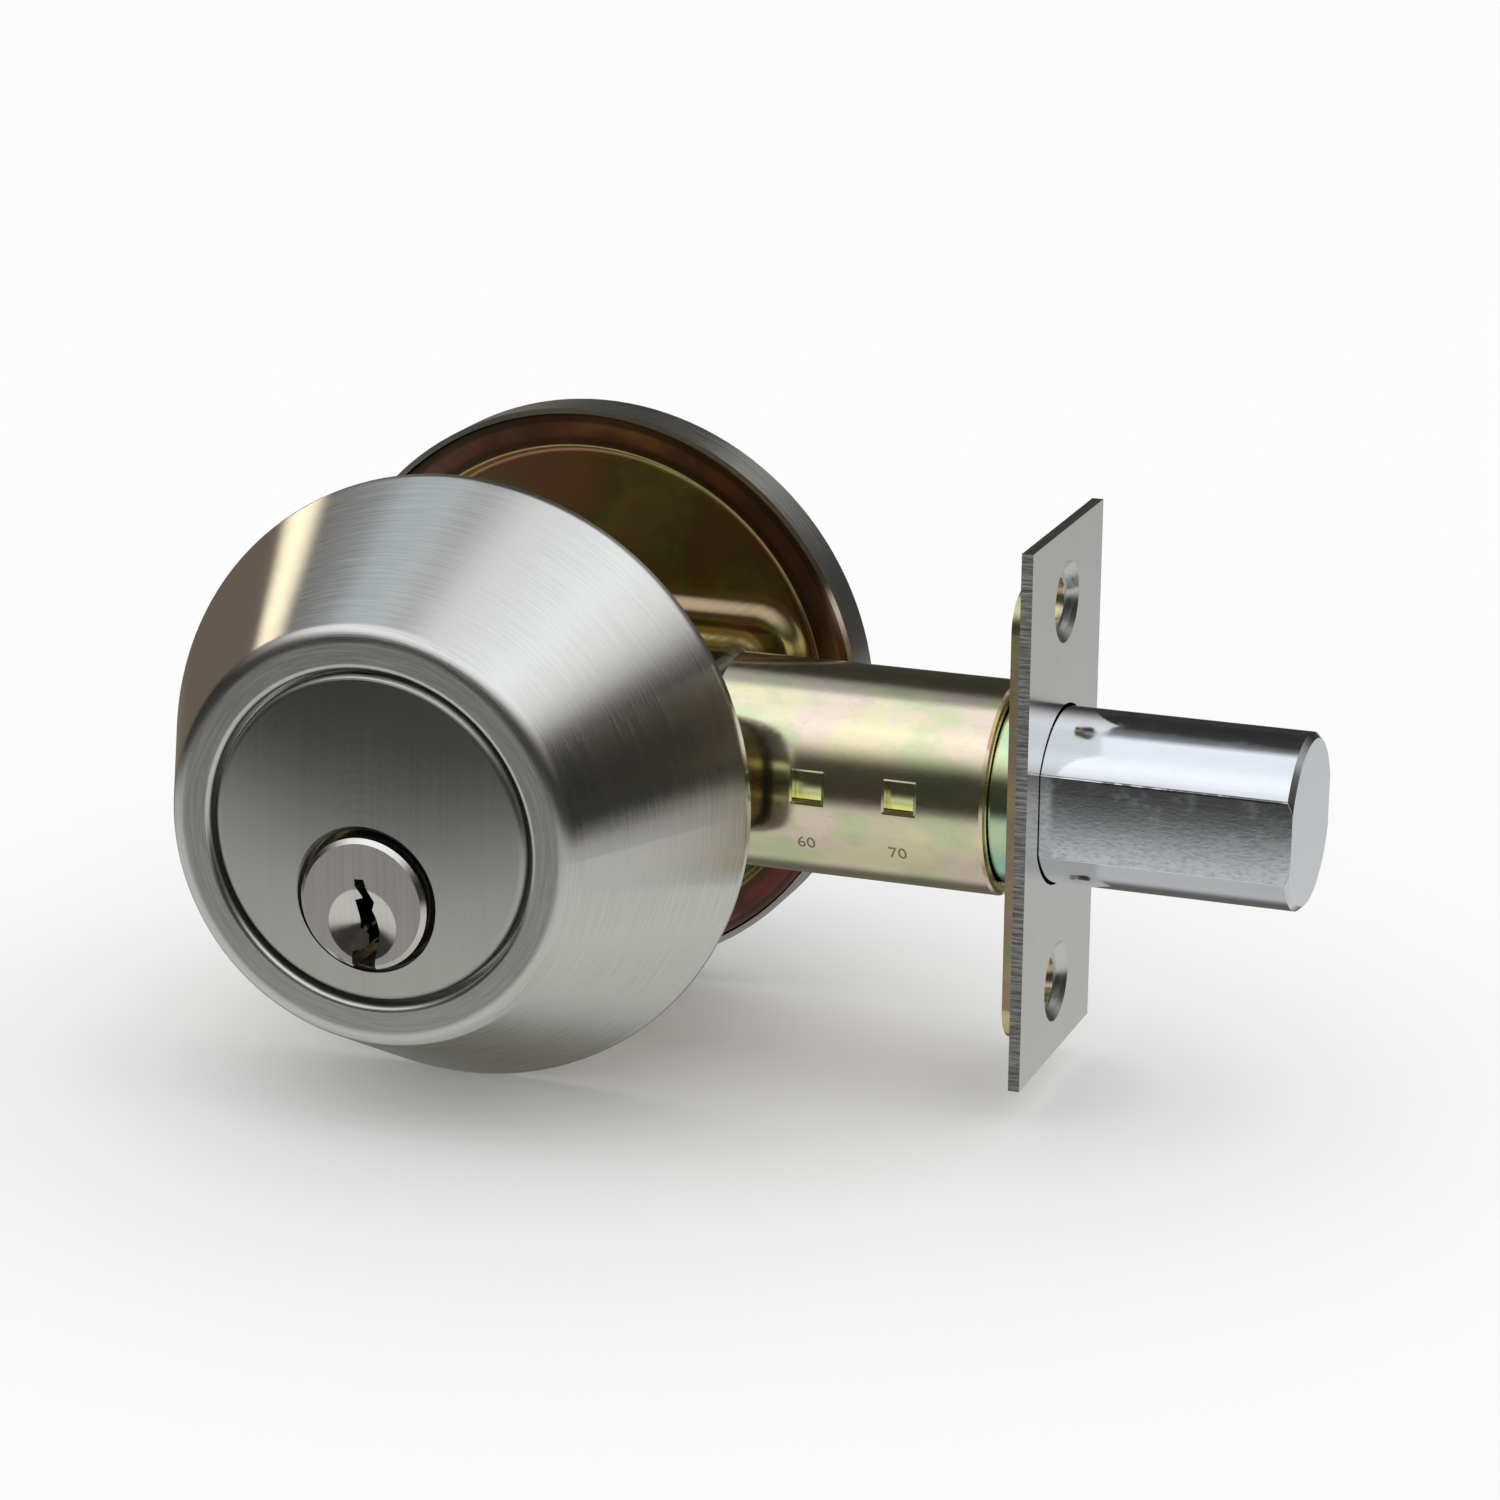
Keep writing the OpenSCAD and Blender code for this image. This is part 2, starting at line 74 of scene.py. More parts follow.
# Studio: a bright ceiling, a dark room at eye level and a pale table. Only mirror
# rays see this room with its cards and lights, which suit the main view best.
# Everything else is lit by even white light.
class Value:
    """One shader value. Sums written with it add their own nodes."""

    def __init__(self, socket):
        self.socket = socket
        self.tree = socket.id_data

    def math(self, operation, *others):
        return Tree(self.tree).node("Math", {"operation": operation}, _0=self,
                                    **{f"_{i + 1}": item for i, item in enumerate(others)})

    def __add__(self, other):
        return self.math("ADD", other)

    def __radd__(self, other):
        return self.math("ADD", other)

    def __sub__(self, other):
        return self.math("SUBTRACT", other)

    def __rsub__(self, other):
        return (self * -1.0).math("ADD", other)

    def __mul__(self, other):
        return self.math("MULTIPLY", other)

    def __rmul__(self, other):
        return self.math("MULTIPLY", other)

    def step(self, low, high):
        """0 below low, 1 above high, smooth between."""
        return Tree(self.tree).node("MapRange", {"interpolation_type": "SMOOTHSTEP"},
                                    _0=self, _1=low, _2=high)


class Tree:
    """A node tree and the ways nodes are added to it."""

    def __init__(self, tree):
        self.tree = tree

    def node(self, kind, settings=None, out=0, **inputs):
        node = self.tree.nodes.new("ShaderNode" + kind)
        for key, item in (settings or {}).items():
            if key == "stops":
                ramp = node.color_ramp
                while len(ramp.elements) < len(item):
                    ramp.elements.new(0.5)
                for element, (at, colour) in zip(ramp.elements, item):
                    element.position = at
                    element.color = (*colour, 1.0)
            else:
                setattr(node, key, item)
        for key, item in inputs.items():
            slot = node.inputs[int(key[1:]) if key[0] == "_" else key.replace("_", " ")]
            if isinstance(item, Value):
                self.tree.links.new(item.socket, slot)
            elif slot.type == "RGBA":
                slot.default_value = (*item[:3], 1.0)
            else:
                slot.default_value = item
        return Value(node.outputs[out])

    def colours(self, factor, first, second):
        return self.node("Mix", {"data_type": "RGBA"}, out=2, _0=factor, _6=first, _7=second)

    def split(self, vector):
        node = self.tree.nodes.new("ShaderNodeSeparateXYZ")
        self.tree.links.new(vector.socket, node.inputs[0])
        return [Value(node.outputs[i]) for i in range(3)]

    def ramp(self, factor, *stops):
        return self.node("ValToRGB", {"stops": stops}, Fac=factor)


world = bpy.data.worlds.new("studio")
bpy.context.scene.world = world
world.use_nodes = True
room = Tree(world.node_tree)
world.node_tree.nodes.clear()
toward = room.node("TexCoord", out=0)
side, depth, height = room.split(toward)
shown = room.ramp(height * 0.5 + 0.5,
                  (0.00, (0.50, 0.50, 0.485)), (0.14, (0.66, 0.66, 0.64)),
                  (0.30, (0.63, 0.63, 0.62)), (0.37, (0.52, 0.52, 0.515)),
                  (0.42, (0.20, 0.195, 0.18)), (0.46, (0.05, 0.048, 0.042)),
                  (0.60, (0.030, 0.030, 0.026)), (0.68, (0.12, 0.115, 0.10)),
                  (0.75, (0.36, 0.35, 0.33)), (0.84, (1.00, 1.01, 1.02)),
                  (0.92, (1.20, 1.24, 1.28)), (1.00, (0.95, 0.97, 1.00)))


def patch(onto, direction, inner, outer, colour, amount=1.0):
    """Adds a soft round light or a coloured card to the room."""
    d = Vector(direction).normalized()
    near = side * d[0] + depth * d[1] + height * d[2]
    within = near.step(math.cos(math.radians(outer)), math.cos(math.radians(inner)))
    return room.colours(within * amount, onto, colour)


shown = patch(shown, (-0.28, 0.72, 0.64), 16, 34, (0.030, 0.030, 0.026))
shown = patch(shown, (-0.27, 0.47, 0.84), 5, 18, (0.040, 0.040, 0.036), 0.75)
shown = patch(shown, (-0.35, -0.93, 0.02), 10, 30, (0.040, 0.040, 0.034))
shown = patch(shown, (-0.30, 0.72, -0.62), 12, 34, (0.10, 0.095, 0.080), 0.95)
shown = patch(shown, (0.93, 0.27, 0.20), 9, 24, (0.015, 0.015, 0.012))
shown = patch(shown, (-0.52, 0.36, 0.78), 8, 20, (0.52, 0.58, 0.62), 0.85)
shown = patch(shown, (-0.67, 0.50, 0.54), 7, 16, (0.15, 0.15, 0.155))
shown = patch(shown, (-0.76, 0.65, 0.04), 16, 30, (0.17, 0.135, 0.10))
shown = patch(shown, (-0.765, 0.56, 0.33), 2.0, 5.5, (4.2, 3.7, 2.7))
rays = world.node_tree.nodes.new("ShaderNodeLightPath")
metal_light = room.node("Background", Color=shown, Strength=1.0)
even_light = room.node("Background", Color=(1, 1, 1), Strength=1.07)
final = room.node("MixShader", _0=Value(rays.outputs["Is Glossy Ray"]),
                  _1=even_light, _2=metal_light)
world_out = world.node_tree.nodes.new("ShaderNodeOutputWorld")
world.node_tree.links.new(final.socket, world_out.inputs["Surface"])

FLOOR_Z = -0.0325
bpy.ops.object.select_all(action="DESELECT")
bpy.ops.mesh.primitive_plane_add(size=12, location=(0, 0, FLOOR_Z))
floor = bpy.context.object
floor.name = "floor"
floor.visible_glossy = False


class Finish(Tree):
    """The finish of one kind of piece: a material with its surface shader."""

    SOCKETS = {"base": "Base Color", "rough": "Roughness", "metal": "Metallic",
               "normal": "Normal"}

    def __init__(self, name):
        self.material = bpy.data.materials.new(name)
        self.material.use_nodes = True
        super().__init__(self.material.node_tree)
        self.tree.nodes.clear()
        output = self.tree.nodes.new("ShaderNodeOutputMaterial")
        self.surface = self.tree.nodes.new("ShaderNodeBsdfPrincipled")
        self.tree.links.new(self.surface.outputs[0], output.inputs["Surface"])
        self.place = self.node("TexCoord", out=3)

    def feed(self, **inputs):
        for key, item in inputs.items():
            slot = self.surface.inputs[self.SOCKETS[key]]
            if isinstance(item, Value):
                self.tree.links.new(item.socket, slot)
            elif slot.type == "RGBA":
                slot.default_value = (*item[:3], 1.0)
            else:
                slot.default_value = item

    def noise(self, scale, detail=4.0, at=None, roughness=0.6, moved=(0, 0, 0)):
        """Noise in the piece's own place, pulled out where its scale is small."""
        mapped = self.node("Mapping", Vector=at or self.place, Scale=scale, Location=moved)
        return self.node("TexNoise", Vector=mapped, Scale=1.0, Detail=detail, Roughness=roughness)

    def bump(self, height, distance, strength=1.0):
        return self.node("Bump", Height=height, Distance=distance, Strength=strength)

    def run_grain(self, axis):
        """Turns the brushing's direction round an axis."""
        way = self.node("Tangent", {"direction_type": "RADIAL", "axis": axis})
        self.tree.links.new(way.socket, self.surface.inputs["Tangent"])

    def on(self, *names):
        for name in names:
            piece = nodes[name] if name in nodes else bpy.data.objects[name]
            piece.data.materials.clear()
            piece.data.materials.append(self.material)


pale = Finish("pale_floor")
pale.feed(base=(0.93, 0.93, 0.93), rough=0.9)
pale.on("floor")

# Edge unit shell: tube, end wall and backplate are mild steel with yellow chromate
# over zinc. The tube is drawn, its windows are punched, its end is crimped.
def yellow_zinc(name, rose, gold, green, rough=0.10, flow=(150, 230, 230), wear=0.18):
    zinc = Finish(name)
    broad = zinc.noise(flow, detail=2.0, roughness=0.5)
    drift = zinc.noise([c * 0.8 for c in flow], detail=2.0, roughness=0.5, moved=(0.7, 0.2, 0.5))
    small = zinc.noise((300, 520, 520), detail=5.0, moved=(0.3, 0.1, 0.2))
    speck = zinc.noise((1500, 2600, 2600), detail=3.0)
    tone = zinc.colours(broad.step(0.40, 0.60), rose, gold)
    tone = zinc.colours(drift.step(0.48, 0.64), tone, green)
    worn = small.step(0.50, 0.70) * wear + speck.step(0.60, 0.72) * 0.15
    tone = zinc.colours(worn, tone, [c * 0.62 for c in rose])
    zinc.tone = tone
    zinc.relief = small * 0.0000045 + speck * 0.000003
    zinc.feed(base=tone, metal=1.0, rough=rough + small * 0.08 + speck.step(0.55, 0.7) * 0.06,
              normal=zinc.bump(zinc.relief, 1.0, 1.0))
    return zinc


WINDOW_X, WINDOW_Z, WINDOW_HALF = (0.0362, 0.0462), 0.0011, 0.0016
tube = yellow_zinc("yellow_zinc_tube", (0.86, 0.72, 0.60), (0.86, 0.79, 0.52), (0.68, 0.73, 0.46))
along, sideways, tall = tube.split(tube.place)
to_window = sum(1.0 - (along - x).math("ABSOLUTE").step(WINDOW_HALF, WINDOW_HALF + 0.0003)
                for x in WINDOW_X)
above = (tall - WINDOW_Z).math("ABSOLUTE").step(WINDOW_HALF, WINDOW_HALF + 0.0003)
rolled = to_window * (1.0 - above) * (1.0 - sideways.step(-0.0095, -0.0085))
tube.feed(normal=tube.bump(tube.relief - rolled * 0.00009, 1.0, 1.0))
tube.on("bolt_tube", "tube_end")

# Sleeve inside the tube: thinner chromate that has gone green. It shows in the
# windows and as a short neck. Inside the windows it is painted brighter and
# yellower, a painted highlight.
sleeve = yellow_zinc("yellow_zinc_sleeve", (0.50, 0.76, 0.56), (0.66, 0.76, 0.44),
                     (0.40, 0.74, 0.66), flow=(120, 120, 120), wear=0.10)
along, sideways, tall = sleeve.split(sleeve.place)
top = WINDOW_Z + WINDOW_HALF
near_window = sum(1.0 - (along - x).math("ABSOLUTE").step(0.0019, 0.0022) for x in WINDOW_X)
in_window = near_window * (1.0 - sideways.step(-0.0090, -0.0080))
in_window = in_window * (1.0 - tall.step(top, top + 0.0003))
dimple = (top - tall) * (top - tall) * (top - tall) * -12000.0
# Painted highlight: inside the windows the sleeve is painted brighter and yellower.
sleeve.feed(normal=sleeve.bump(dimple * in_window, 1.0, 1.0),
            base=sleeve.colours(in_window * 0.8, sleeve.tone, (0.74, 0.76, 0.36)))
sleeve.on("inner_sleeve")

# Backplate, case plates, tail and the cylinder's back plate: blanked from sheet,
# yellow chromate in deeper brown and gold with a dull blanked edge.
yellow_zinc("yellow_zinc_sheet", (0.66, 0.46, 0.34), (0.70, 0.60, 0.32), (0.50, 0.54, 0.28),
            rough=0.20).on("backplate", "bolt_tail", "case_outer", "case_inner",
                           "cylinder_back_plate")


# Backset marks: plain numerals struck into the tube under each window, shallow
# and dull, so they are thin strips laid round the tube.
TUBE_R = 0.0113


def struck_mark(name, numerals, x, angle):
    bpy.ops.object.select_all(action="DESELECT")
    bpy.ops.object.text_add()
    mark = bpy.context.object
    mark.name = name
    mark.data.body = numerals
    mark.data.size = 0.0021
    mark.data.align_x = "CENTER"
    mark.data.extrude = 0.00001
    mark.data.resolution_u = 3
    bpy.ops.object.convert(target="MESH")
    for vertex in mark.data.vertices:
        turn = angle + vertex.co.y / TUBE_R
        reach = TUBE_R + 0.00001 + vertex.co.z
        vertex.co = (x + vertex.co.x, -reach * math.cos(turn), reach * math.sin(turn))
    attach(mark, "lock")


struck = Finish("struck_mark")
struck_depth = struck.noise((900, 900, 900), detail=2.0)
struck.feed(base=struck.colours(struck_depth, (0.20, 0.16, 0.09), (0.42, 0.36, 0.22)),
            metal=1.0, rough=0.45, normal=struck.bump(struck_depth, 0.00003, 0.4))
for name, numerals, x in (("mark_short", "60", 0.0358), ("mark_long", "70", 0.0458)):
    struck_mark(name, numerals, x, math.radians(-31))
    struck.on(name)

# Bolt: cold drawn steel, hard chrome over nickel, with two crowned flats that
# keep light drawing marks. It slides in the sleeve. A broken dark line is painted
# along the upper edge of the flats, and the end face is painted a cooler blue as a
# painted reflection.
bright = Finish("bright_bolt")
across, sideways, tall = bright.split(bright.place)
drawn = bright.noise((22, 2600, 2600), detail=6.0, roughness=0.65)
dents = bright.noise((420, 420, 420), detail=4.0, moved=(0.2, 0, 0.4))
pitted = bright.noise((1400, 2600, 3400), detail=3.0, roughness=0.7)
FLAT_EDGE_Z, BOLT_TIP = 0.00428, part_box("bolt")[1][0]
# A broken dark line is painted along the upper edge of each flat.
dark_edge_line = 1.0 - (tall - FLAT_EDGE_Z).math("ABSOLUTE").step(0.00008, 0.00022)
dark_edge_line = dark_edge_line * dents.step(0.36, 0.50) * across.step(0.0665, 0.0672)
dark_edge_line = dark_edge_line * (1.0 - across.step(BOLT_TIP - 0.0008, BOLT_TIP - 0.0006))
# Painted reflection: the end face is tinted a cooler blue.
end_reflection_mask = across.step(BOLT_TIP - 0.0001, BOLT_TIP - 0.00005)
on_flat = 1.0 - sideways.math("ABSOLUTE").step(0.00822, 0.00828)
on_flat = on_flat * sideways.math("ABSOLUTE").step(0.0081, 0.00815)
crown = tall * tall * -10.0
ripple = drawn * 0.000003 + dents * 0.000007 + (pitted * 0.000009 + crown) * on_flat
chrome = bright.colours(drawn * 0.5 + dents * 0.5, (0.68, 0.71, 0.75), (0.86, 0.89, 0.94))
chrome = bright.colours(end_reflection_mask * 0.85, chrome, (0.86, 0.93, 1.0))
chrome = bright.colours(dark_edge_line * 0.85, chrome, (0.07, 0.07, 0.07))
chrome = bright.colours(on_flat * pitted.step(0.42, 0.70) * 0.40, chrome, (0.34, 0.35, 0.36))
bright.feed(base=chrome, metal=1.0, normal=bright.bump(ripple, 1.0, 1.0),
            rough=0.04 + drawn * 0.08 + dents.step(0.5, 0.7) * 0.08 + on_flat * pitted * 0.16)
bright.on("bolt")

# Faceplate: steel strip brushed up and down, nickel plated, with sheared edges
# that keep fine upright bite marks.
strip = Finish("brushed_strip")
across, sideways, tall = strip.split(strip.place)
grain = strip.noise((3200, 3200, 45), detail=5.0, roughness=0.7)
cloud = strip.noise((90, 90, 60), detail=3.0)
edge = sideways.math("ABSOLUTE").step(0.01262, 0.01268)
bites = strip.noise((300, 300, 3000), detail=3.0).step(0.30, 0.70)
tone = strip.colours(grain * 0.6 + cloud * 0.4, (0.58, 0.575, 0.56), (0.80, 0.80, 0.785))
tone = strip.colours(edge * (bites * 0.6 + 0.3), tone, (0.16, 0.16, 0.155))
strip.surface.inputs["Anisotropic"].default_value = 0.8
strip.run_grain("Z")
strip.feed(base=tone, metal=1.0, rough=0.15 + grain * 0.08 + edge * 0.15,
           normal=strip.bump(grain * 0.000004 + bites * edge * 0.00001 + tall * tall * 0.6,
                             1.0, 1.0))
strip.on("faceplate")


# Outer collar, inside rose and bushing: brass, turned and brushed round the axis,
# then satin nickel plated. The collar is loose and spins on the housing.
def brushed_round(name, colour, rough, centre_z=0.0):
    metal = Finish(name)
    x, y, z = metal.split(metal.place)
    z = z - centre_z
    along = (x * x + z * z).math("SQRT") + y
    angle = x.math("ARCTAN2", z)
    lines = metal.noise((1, 1, 1), detail=3.0, roughness=0.7,
                        at=metal.node("CombineXYZ", _0=along * 3000.0, _1=angle * 3.0))
    bands = metal.noise((1, 1, 1), detail=4.0,
                        at=metal.node("CombineXYZ", _0=along * 1700.0, _1=angle * 2.0, _2=4.0))
    cloud = metal.noise((60, 60, 60), detail=3.0)
    fine = metal.noise((2600, 2600, 2600), detail=2.0)
    lines = lines.step(0.30, 0.70)
    bands = bands.step(0.30, 0.70)
    shade = metal.colours(lines * 0.6 + bands * 0.1 + cloud * 0.3,
                          [c * 0.88 for c in colour], [min(1, c * 1.09) for c in colour])
    metal.surface.inputs["Anisotropic"].default_value = 0.9
    metal.surface.inputs["Anisotropic Rotation"].default_value = 0.25
    metal.run_grain("Y")
    metal.feed(base=shade, metal=1.0,
               rough=rough - 0.04 + lines * 0.05 + bands * 0.01 + cloud * 0.03,
               normal=metal.bump(lines * 0.7 + fine * 0.3, 0.000006, 0.3))
    return metal


NICKEL, KEY_Z = (0.68, 0.675, 0.65), -0.00635
brushed_round("satin_nickel_collar", NICKEL, 0.20).on("outer_collar", "inner_rose")
brushed_round("satin_nickel_bushing", NICKEL, 0.26, KEY_Z).on("turn_bushing")

# Thumb turn: die cast, linished along its wings and satin nickel plated, rubbed
# brighter in patches where fingers hold it.
turn = Finish("satin_nickel_turn")
long_grain = turn.noise((90, 3000, 3000), detail=3.0, roughness=0.6)
held = turn.noise((110, 110, 110), detail=2.0)
turn.feed(base=turn.colours(long_grain * 0.55 + held * 0.45,
                            (0.56, 0.555, 0.53), (0.76, 0.755, 0.73)), metal=1.0,
          rough=0.23 + long_grain * 0.06 - held.step(0.5, 0.7) * 0.05,
          normal=turn.bump(long_grain, 0.000004, 0.4))
turn.on("thumb_turn")

# Face cap: brass pressed to a shallow dome, brushed straight up and down before
# plating, so its grain doesn't follow the round.
cap = Finish("satin_nickel_cap")
upright = cap.noise((3600, 60, 30), detail=5.0, roughness=0.7)
coarse = cap.noise((700, 60, 12), detail=3.0)
cloud = cap.noise((80, 80, 80), detail=3.0)
cap.surface.inputs["Anisotropic"].default_value = 0.8
cap.run_grain("Z")
cap.feed(base=cap.colours(upright * 0.5 + coarse * 0.3 + cloud * 0.2,
                          (0.42, 0.42, 0.395), (0.57, 0.57, 0.545)), metal=1.0,
         rough=0.24 + upright * 0.08 + cloud * 0.04,
         normal=cap.bump(upright, 0.00002, 0.3))
cap.on("face_cap")

# Plug: free-cutting brass, faced, nickel plated bright; the key has polished the
# cone round the keyway.
key = Finish("bright_nickel_plug")
x, y, z = key.split(key.place)
z = z - KEY_Z
reach = (x * x + z * z).math("SQRT")
cone = ((z + 0.0021) * (z + 0.0021) + x * x).math("SQRT")
facing = key.noise((2400, 60, 60), detail=5.0)
warm = key.noise((160, 160, 160), detail=3.0)
polished = cone.step(0.0037, 0.00382) * -1.0 + 1.0
rim = reach.step(0.00635, 0.0065)
smooth = (polished + rim).math("MINIMUM", 1.0)
key.feed(base=key.colours(facing * 0.6 + warm * 0.4, (0.60, 0.575, 0.54), (0.84, 0.82, 0.79)),
         metal=1.0, rough=0.23 + facing * 0.08 - smooth * 0.18,
         normal=key.bump(facing * (1.0 - smooth), 0.00002, 0.3))
key.on("plug")


# Works of the cylinder: cast zinc body, brass shell and pins, steel springs and
# screws. Each keeps the marks of how it was made.
def machined(name, dark, light, rough, marks, size=0.00002):
    metal = Finish(name)
    lines = metal.noise(marks, detail=5.0)
    stain = metal.noise((140, 140, 140), detail=4.0)
    metal.feed(base=metal.colours(lines * 0.4 + stain * 0.6, dark, light), metal=1.0,
               rough=rough + lines * 0.10 + stain * 0.08, normal=metal.bump(lines, size, 0.4))
    return metal


machined("cast_zinc", (0.40, 0.40, 0.41), (0.62, 0.62, 0.63), 0.38, (900, 900, 900),
         0.00005).on("cylinder_housing")
machined("brass", (0.44, 0.32, 0.14), (0.68, 0.53, 0.26), 0.20, (300, 2400, 300)).on(
    "cylinder_shell", "key_pins", "chamber_cover")
machined("turned_steel", (0.42, 0.42, 0.43), (0.66, 0.66, 0.67), 0.20, (400, 2600, 400)).on(
    "driver_pins", "plug_cap", "tail_rivet", "hub_pin", "case_rivets", "bolt_roller")
machined("rolled_steel", (0.38, 0.38, 0.39), (0.60, 0.60, 0.61), 0.26, (1200, 1200, 160)).on(
    "tailpiece", "turn_clip", "turn_washer", "hub")
machined("screw_steel", (0.50, 0.50, 0.50), (0.74, 0.74, 0.73), 0.20, (900, 900, 900)).on(
    "back_plate_screws", "mounting_screws")

# Pin springs: five coils of hard drawn wire above the driver pins, with their
# tops held by the chamber cover. They are drawn at one length and don't close up as the drivers
# rise.
COIL_R, WIRE_R, COIL_TURNS = 0.00098, 0.00018, 6
SPRING_LOW, SPRING_TOP = 0.0046, 0.0096
PIN_YS, LIFT = (-0.0219, -0.0249, -0.0279, -0.0309, -0.0339), 0.0015
bpy.ops.object.select_all(action="DESELECT")
bpy.ops.mesh.primitive_circle_add(vertices=10, radius=WIRE_R, location=(COIL_R, 0, 0),
                                  rotation=(math.pi / 2, 0, 0))
coil = bpy.context.object
bpy.ops.object.transform_apply(location=True, rotation=True, scale=True)
wound = coil.modifiers.new("wound", "SCREW")
wound.axis = "Z"
wound.iterations = COIL_TURNS
wound.steps = wound.render_steps = 24
wound.screw_offset = (SPRING_TOP - SPRING_LOW - 2 * WIRE_R) / COIL_TURNS
bpy.ops.object.modifier_apply(modifier="wound")
bpy.ops.object.mode_set(mode="EDIT")
bpy.ops.mesh.select_all(action="SELECT")
bpy.ops.mesh.remove_doubles(threshold=0.000001)
bpy.ops.mesh.fill_holes(sides=12)
bpy.ops.mesh.select_all(action="SELECT")
bpy.ops.mesh.normals_make_consistent(inside=False)
bpy.ops.object.mode_set(mode="OBJECT")
bpy.ops.object.shade_smooth_by_angle(angle=math.radians(50))
for y in PIN_YS[:-1]:
    copy = coil.copy()
    copy.data = coil.data.copy()
    copy.data.transform(Matrix.Translation((0, y, SPRING_LOW + WIRE_R)))
    bpy.context.collection.objects.link(copy)
    copy.select_set(True)
coil.data.transform(Matrix.Translation((0, PIN_YS[-1], SPRING_LOW + WIRE_R)))
bpy.ops.object.join()
coil.name = "coil_springs"
machined("spring_steel", (0.36, 0.36, 0.37), (0.60, 0.60, 0.61), 0.24,
         (1600, 1600, 1600)).on("coil_springs")
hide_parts("pin_springs")
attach(coil, "lock")
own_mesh(coil)

# Mounting plate: pressed from sheet with a fold line near the rim and a soft
# raised pad across the middle, yellow chromate gone dark olive and brown. The gold
# line on the fold and the yellow on the pad's inner step are painted highlights; the
# dark rings beside the fold and round the rim and the darker outer step are painted shade.
DOOR_Y = 0.0175
PLATE_R, FOLD_R, PLATE_T = 0.0313, 0.02765, 0.0008
# Each step of the pad: half width, half height, corner radius, slope, rise
PAD_STEPS = ((0.0254, 0.0119, 0.0062, 0.0022, 0.0012),
             (0.0216, 0.0084, 0.0042, 0.0018, 0.0007))
BEND_R, BEND_Y = 0.0003, 0.00094
FOLD = [(FOLD_R + BEND_R + BEND_R * math.cos(math.radians(a)),
         BEND_Y + BEND_R * math.sin(math.radians(a))) for a in range(270, 179, -15)]
PRESSING = ([(PLATE_R, 0.00045), (0.0309, 0.00043), (0.0300, 0.00050), (0.0290, 0.00060),
             (0.0283, 0.00064)] + FOLD
            + [(0.02755, 0.0013), (0.02742, 0.0018), (0.0271, 0.0021), (0.0266, 0.0022)]
            + [(r / 2000, 0.0022) for r in range(52, 1, -1)])
bpy.ops.object.select_all(action="DESELECT")
bpy.ops.mesh.primitive_circle_add(vertices=160, radius=PLATE_R, fill_type="NGON",
                                  rotation=(math.pi / 2, 0, 0))
pressed = bpy.context.object
pressed.name = "pressed_mounting_plate"
bpy.ops.object.transform_apply(location=True, rotation=True, scale=True)
bpy.ops.object.mode_set(mode="EDIT")
bpy.ops.mesh.select_all(action="SELECT")
bpy.ops.transform.translate(value=(0, DOOR_Y + PRESSING[0][1], 0))
for (r0, y0), (r1, y1) in zip(PRESSING, PRESSING[1:]):
    bpy.ops.mesh.extrude_region()
    bpy.ops.transform.resize(value=(r1 / r0, 1, r1 / r0), center_override=(0, 0, 0))
    bpy.ops.transform.translate(value=(0, y1 - y0, 0))
bpy.ops.mesh.merge(type="CENTER")
bpy.ops.mesh.select_face_by_sides(number=4, type="GREATER", extend=False)
bpy.ops.mesh.delete(type="FACE")
bpy.ops.mesh.select_all(action="DESELECT")
bpy.ops.object.mode_set(mode="OBJECT")
HOLES = [(Vector((x, 0, KEY_Z)), r)
         for x, r in ((-0.018, 0.0028), (0.0, 0.006), (0.018, 0.0028))]
for face in pressed.data.polygons:
    middle = Vector((face.center.x, 0, face.center.z))
    face.select = any((middle - hole).length < r for hole, r in HOLES)
bpy.ops.object.mode_set(mode="EDIT")
bpy.ops.mesh.select_mode(type="FACE")
bpy.ops.mesh.delete(type="FACE")
bpy.ops.mesh.select_mode(type="VERT")
bpy.ops.mesh.select_non_manifold(extend=False)
bpy.ops.object.mode_set(mode="OBJECT")
for vertex in pressed.data.vertices:
    for hole, r in HOLES:
        away = Vector((vertex.co.x - hole.x, 0, vertex.co.z - hole.z))
        if vertex.select and away.length < r + 0.001:
            away.length = r
            vertex.co = Vector((hole.x, vertex.co.y, hole.z)) + away
bpy.ops.object.mode_set(mode="EDIT")
bpy.ops.mesh.select_all(action="SELECT")
bpy.ops.mesh.normals_make_consistent(inside=False)
bpy.ops.object.mode_set(mode="OBJECT")
if pressed.data.polygons[-1].normal.y > 0:
    pressed.data.flip_normals()
for vertex in pressed.data.vertices:
    lift = 0
    for half_x, half_z, corner, slope, rise in PAD_STEPS:
        past_x = max(abs(vertex.co.x) - half_x + corner, 0)
        past_z = max(abs(vertex.co.z) - half_z + corner, 0)
        outside = max(abs(vertex.co.x) - half_x, abs(vertex.co.z) - half_z)
        if past_x and past_z:
            outside = math.hypot(past_x, past_z) - corner
        climb = min(max(-outside / slope, 0), 1)
        lift += rise * climb * climb * (3 - 2 * climb)
    vertex.co.y -= lift
wall = pressed.modifiers.new("wall", "SOLIDIFY")
wall.thickness = PLATE_T
wall.offset = -1
bpy.ops.object.modifier_apply(modifier="wall")
bpy.ops.object.shade_smooth_by_angle(angle=math.radians(40))
plate_zinc = Finish("yellow_zinc_pressing")
x, y, z = plate_zinc.split(plate_zinc.place)
reach = (x * x + z * z).math("SQRT")
broad = plate_zinc.noise((48, 48, 48), detail=2.5, roughness=0.5, moved=(0.13, 0, 0.02))
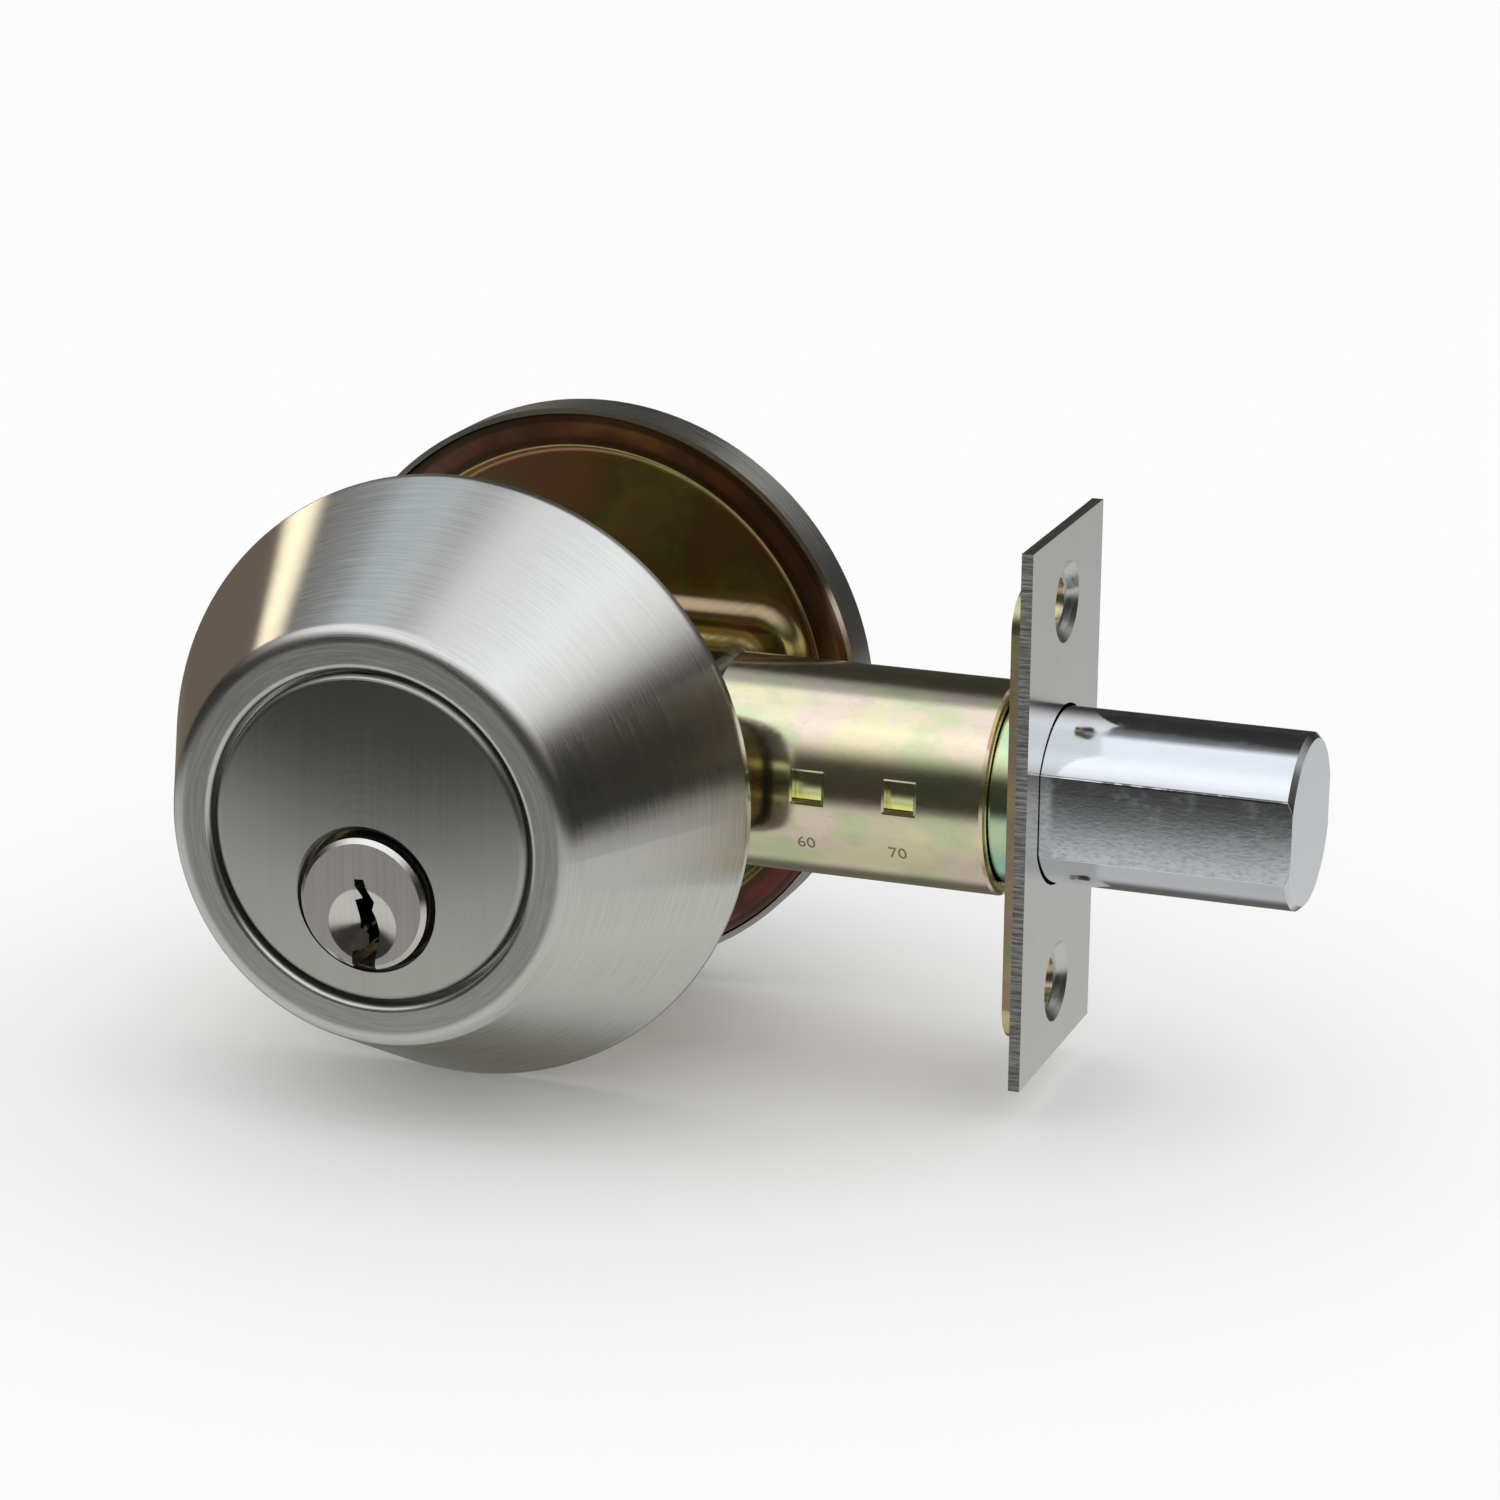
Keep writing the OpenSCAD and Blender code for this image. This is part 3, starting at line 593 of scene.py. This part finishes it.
small = plate_zinc.noise((420, 420, 420), detail=4.0)
field = plate_zinc.ramp(broad * 0.88 + small * 0.12,
                        (0.36, (0.30, 0.44, 0.15)), (0.43, (0.50, 0.25, 0.17)),
                        (0.49, (0.33, 0.29, 0.14)), (0.54, (0.40, 0.42, 0.18)),
                        (0.60, (0.46, 0.27, 0.17)), (0.68, (0.52, 0.46, 0.18)))
patches = plate_zinc.noise((95, 95, 95), detail=2.5, roughness=0.5, moved=(0.4, 0, 0.9))
rimmed = plate_zinc.ramp(patches * 0.8 + small * 0.2,
                         (0.36, (0.54, 0.20, 0.17)), (0.46, (0.26, 0.17, 0.11)),
                         (0.55, (0.46, 0.20, 0.17)), (0.66, (0.62, 0.48, 0.20)))
tone = plate_zinc.colours(reach.step(0.0279, 0.0283), field, rimmed)
# Painted highlight: a thin gold line on the bend of the fold.
fold_highlight = reach.step(0.0275, 0.0276) * (1.0 - reach.step(0.0279, 0.0280))
tone = plate_zinc.colours(fold_highlight, tone, (0.70, 0.60, 0.27))
# Painted shade: a dark ring just outside the fold and another round the outer rim.
painted_shade_rings = reach.step(0.0279, 0.0280) * (1.0 - reach.step(0.0284, 0.0292))
painted_shade_rings = painted_shade_rings + reach.step(0.0303, 0.0306)
tone = plate_zinc.colours(painted_shade_rings * 0.75, tone, (0.12, 0.09, 0.06))
off_x, off_z = x.math("ABSOLUTE"), z.math("ABSOLUTE")
# Painted shade: the pad's outer slope is painted a darker pinkish brown.
outer_slope_shade = off_z.step(0.0096, 0.0101) * (1.0 - off_z.step(0.0115, 0.0119))
outer_slope_shade = (1.0 - off_x.step(0.0250, 0.0259)) * outer_slope_shade
# Painted highlight: the pad's inner slope is painted a bright yellow.
inner_slope_highlight = off_z.step(0.0064, 0.0070) * (1.0 - off_z.step(0.0082, 0.0086))
inner_slope_highlight = (1.0 - off_x.step(0.0210, 0.0221)) * inner_slope_highlight
tone = plate_zinc.colours(outer_slope_shade * 0.7, tone, (0.42, 0.27, 0.20))
tone = plate_zinc.colours(inner_slope_highlight * 0.9, tone, (0.95, 0.82, 0.30))
plate_zinc.feed(base=tone, metal=1.0, rough=0.20 + small * 0.08,
                normal=plate_zinc.bump(small, 0.00001, 0.3))
plate_zinc.on("pressed_mounting_plate")
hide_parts("mounting_plate")
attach(pressed, "lock")
